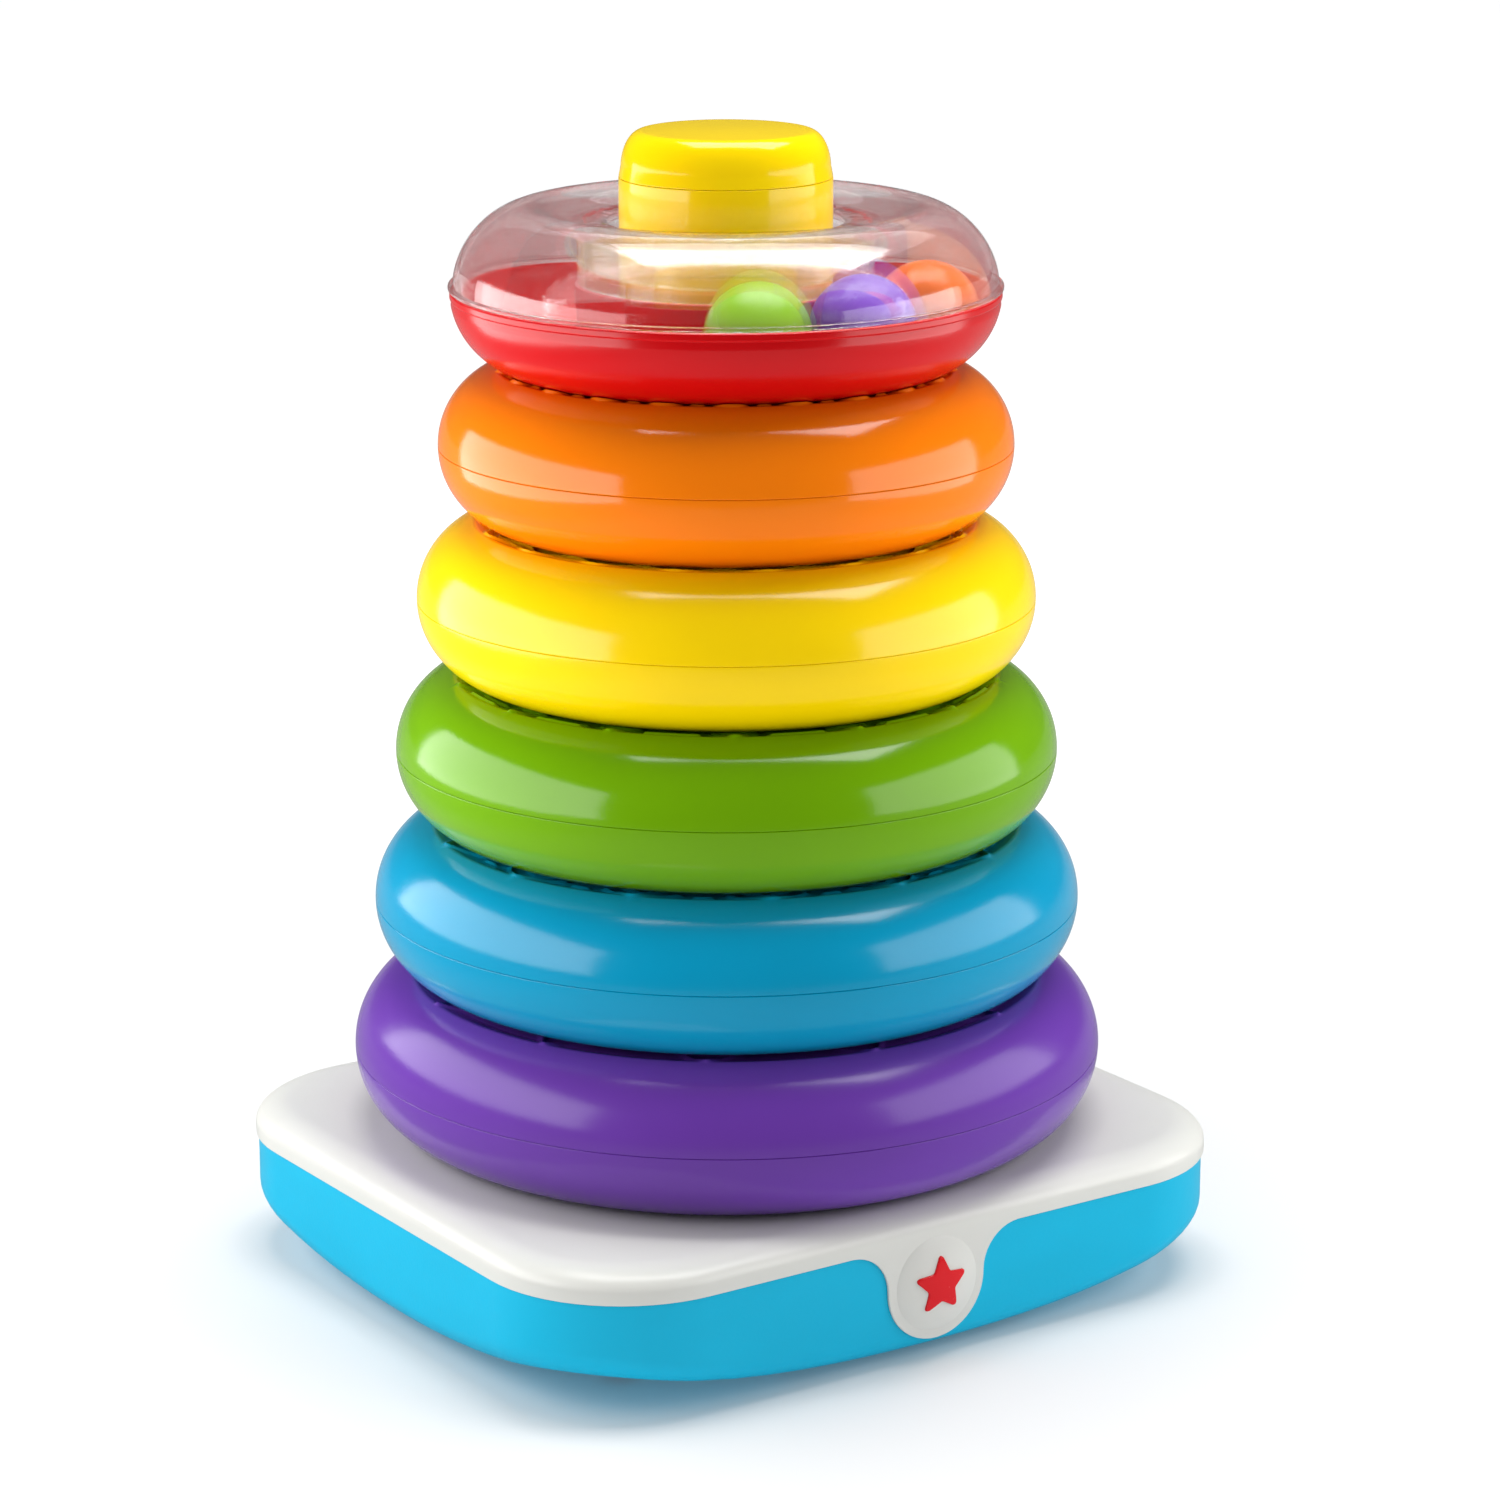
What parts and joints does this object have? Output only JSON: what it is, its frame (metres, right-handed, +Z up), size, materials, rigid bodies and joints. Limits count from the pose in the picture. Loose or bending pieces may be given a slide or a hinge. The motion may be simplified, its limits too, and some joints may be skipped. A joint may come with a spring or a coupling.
{
  "type": "stacking ring toy",
  "caption": "Rocking stack toy: graded hollow rings and a clear-topped rattle ring drop over a round post on a bowed base.",
  "frame": {"origin": "centre of the base's flat rest face, on the post's axis", "axes": "+Z up along the post; -Y is the side with the badge; +X to the right seen from the badge side"},
  "size_m": [0.27, 0.248, 0.3785],
  "materials": {
    "cyan_plastic": "gloss, fine moulded grain",
    "white_plastic": "gloss",
    "badge_red": "gloss",
    "screw_steel": "zinc plated",
    "post_yellow": "gloss",
    "purple_plastic": "gloss",
    "blue_plastic": "gloss",
    "green_plastic": "gloss",
    "yellow_plastic": "gloss",
    "orange_plastic": "gloss",
    "red_plastic": "gloss",
    "clear_plastic": "clear polished",
    "ball_green": "gloss",
    "ball_purple": "gloss",
    "ball_orange": "gloss"
  },
  "bodies": {
    "base": {"base_bottom": "cyan_plastic", "base_top": "white_plastic", "badge_star": "badge_red", "base_screws": "screw_steel", "post_tube": "post_yellow", "post_cap": "post_yellow"},
    "purple_ring": {"ring_purple_lower": "purple_plastic", "ring_purple_upper": "purple_plastic"},
    "blue_ring": {"ring_blue_lower": "blue_plastic", "ring_blue_upper": "blue_plastic"},
    "green_ring": {"ring_green_lower": "green_plastic", "ring_green_upper": "green_plastic"},
    "yellow_ring": {"ring_yellow_lower": "yellow_plastic", "ring_yellow_upper": "yellow_plastic"},
    "orange_ring": {"ring_orange_lower": "orange_plastic", "ring_orange_upper": "orange_plastic"},
    "rattle_ring": {"rattle_bowl": "red_plastic", "rattle_dome": "clear_plastic"},
    "green_ball": {"ball_green": "ball_green"},
    "purple_ball": {"ball_purple": "ball_purple"},
    "orange_ball": {"ball_orange": "ball_orange"}
  },
  "joints": [
    {"name": "purple_lift", "type": "slide", "parent": "base", "child": "purple_ring", "axis": [0, 0, 1], "range_m": [0, 0.34]},
    {"name": "blue_lift", "type": "slide", "parent": "purple_ring", "child": "blue_ring", "axis": [0, 0, 1], "range_m": [0, 0.29]},
    {"name": "green_lift", "type": "slide", "parent": "blue_ring", "child": "green_ring", "axis": [0, 0, 1], "range_m": [0, 0.24]},
    {"name": "yellow_lift", "type": "slide", "parent": "green_ring", "child": "yellow_ring", "axis": [0, 0, 1], "range_m": [0, 0.19]},
    {"name": "orange_lift", "type": "slide", "parent": "yellow_ring", "child": "orange_ring", "axis": [0, 0, 1], "range_m": [0, 0.14]},
    {"name": "rattle_lift", "type": "slide", "parent": "orange_ring", "child": "rattle_ring", "axis": [0, 0, 1], "range_m": [0, 0.09]},
    {"name": "green_ball_roll", "type": "hinge", "parent": "rattle_ring", "child": "green_ball", "pos_m": [0, 0, 0.3243], "axis": [0, 0, 1], "continuous": true},
    {"name": "purple_ball_roll", "type": "hinge", "parent": "rattle_ring", "child": "purple_ball", "pos_m": [0, 0, 0.3243], "axis": [0, 0, 1], "continuous": true},
    {"name": "orange_ball_roll", "type": "hinge", "parent": "rattle_ring", "child": "orange_ball", "pos_m": [0, 0, 0.3243], "axis": [0, 0, 1], "continuous": true}
  ],
  "couplings": [
    {"joint": "purple_ball_roll", "follows": "green_ball_roll", "ratio": 1},
    {"joint": "orange_ball_roll", "follows": "green_ball_roll", "ratio": 1}
  ]
}
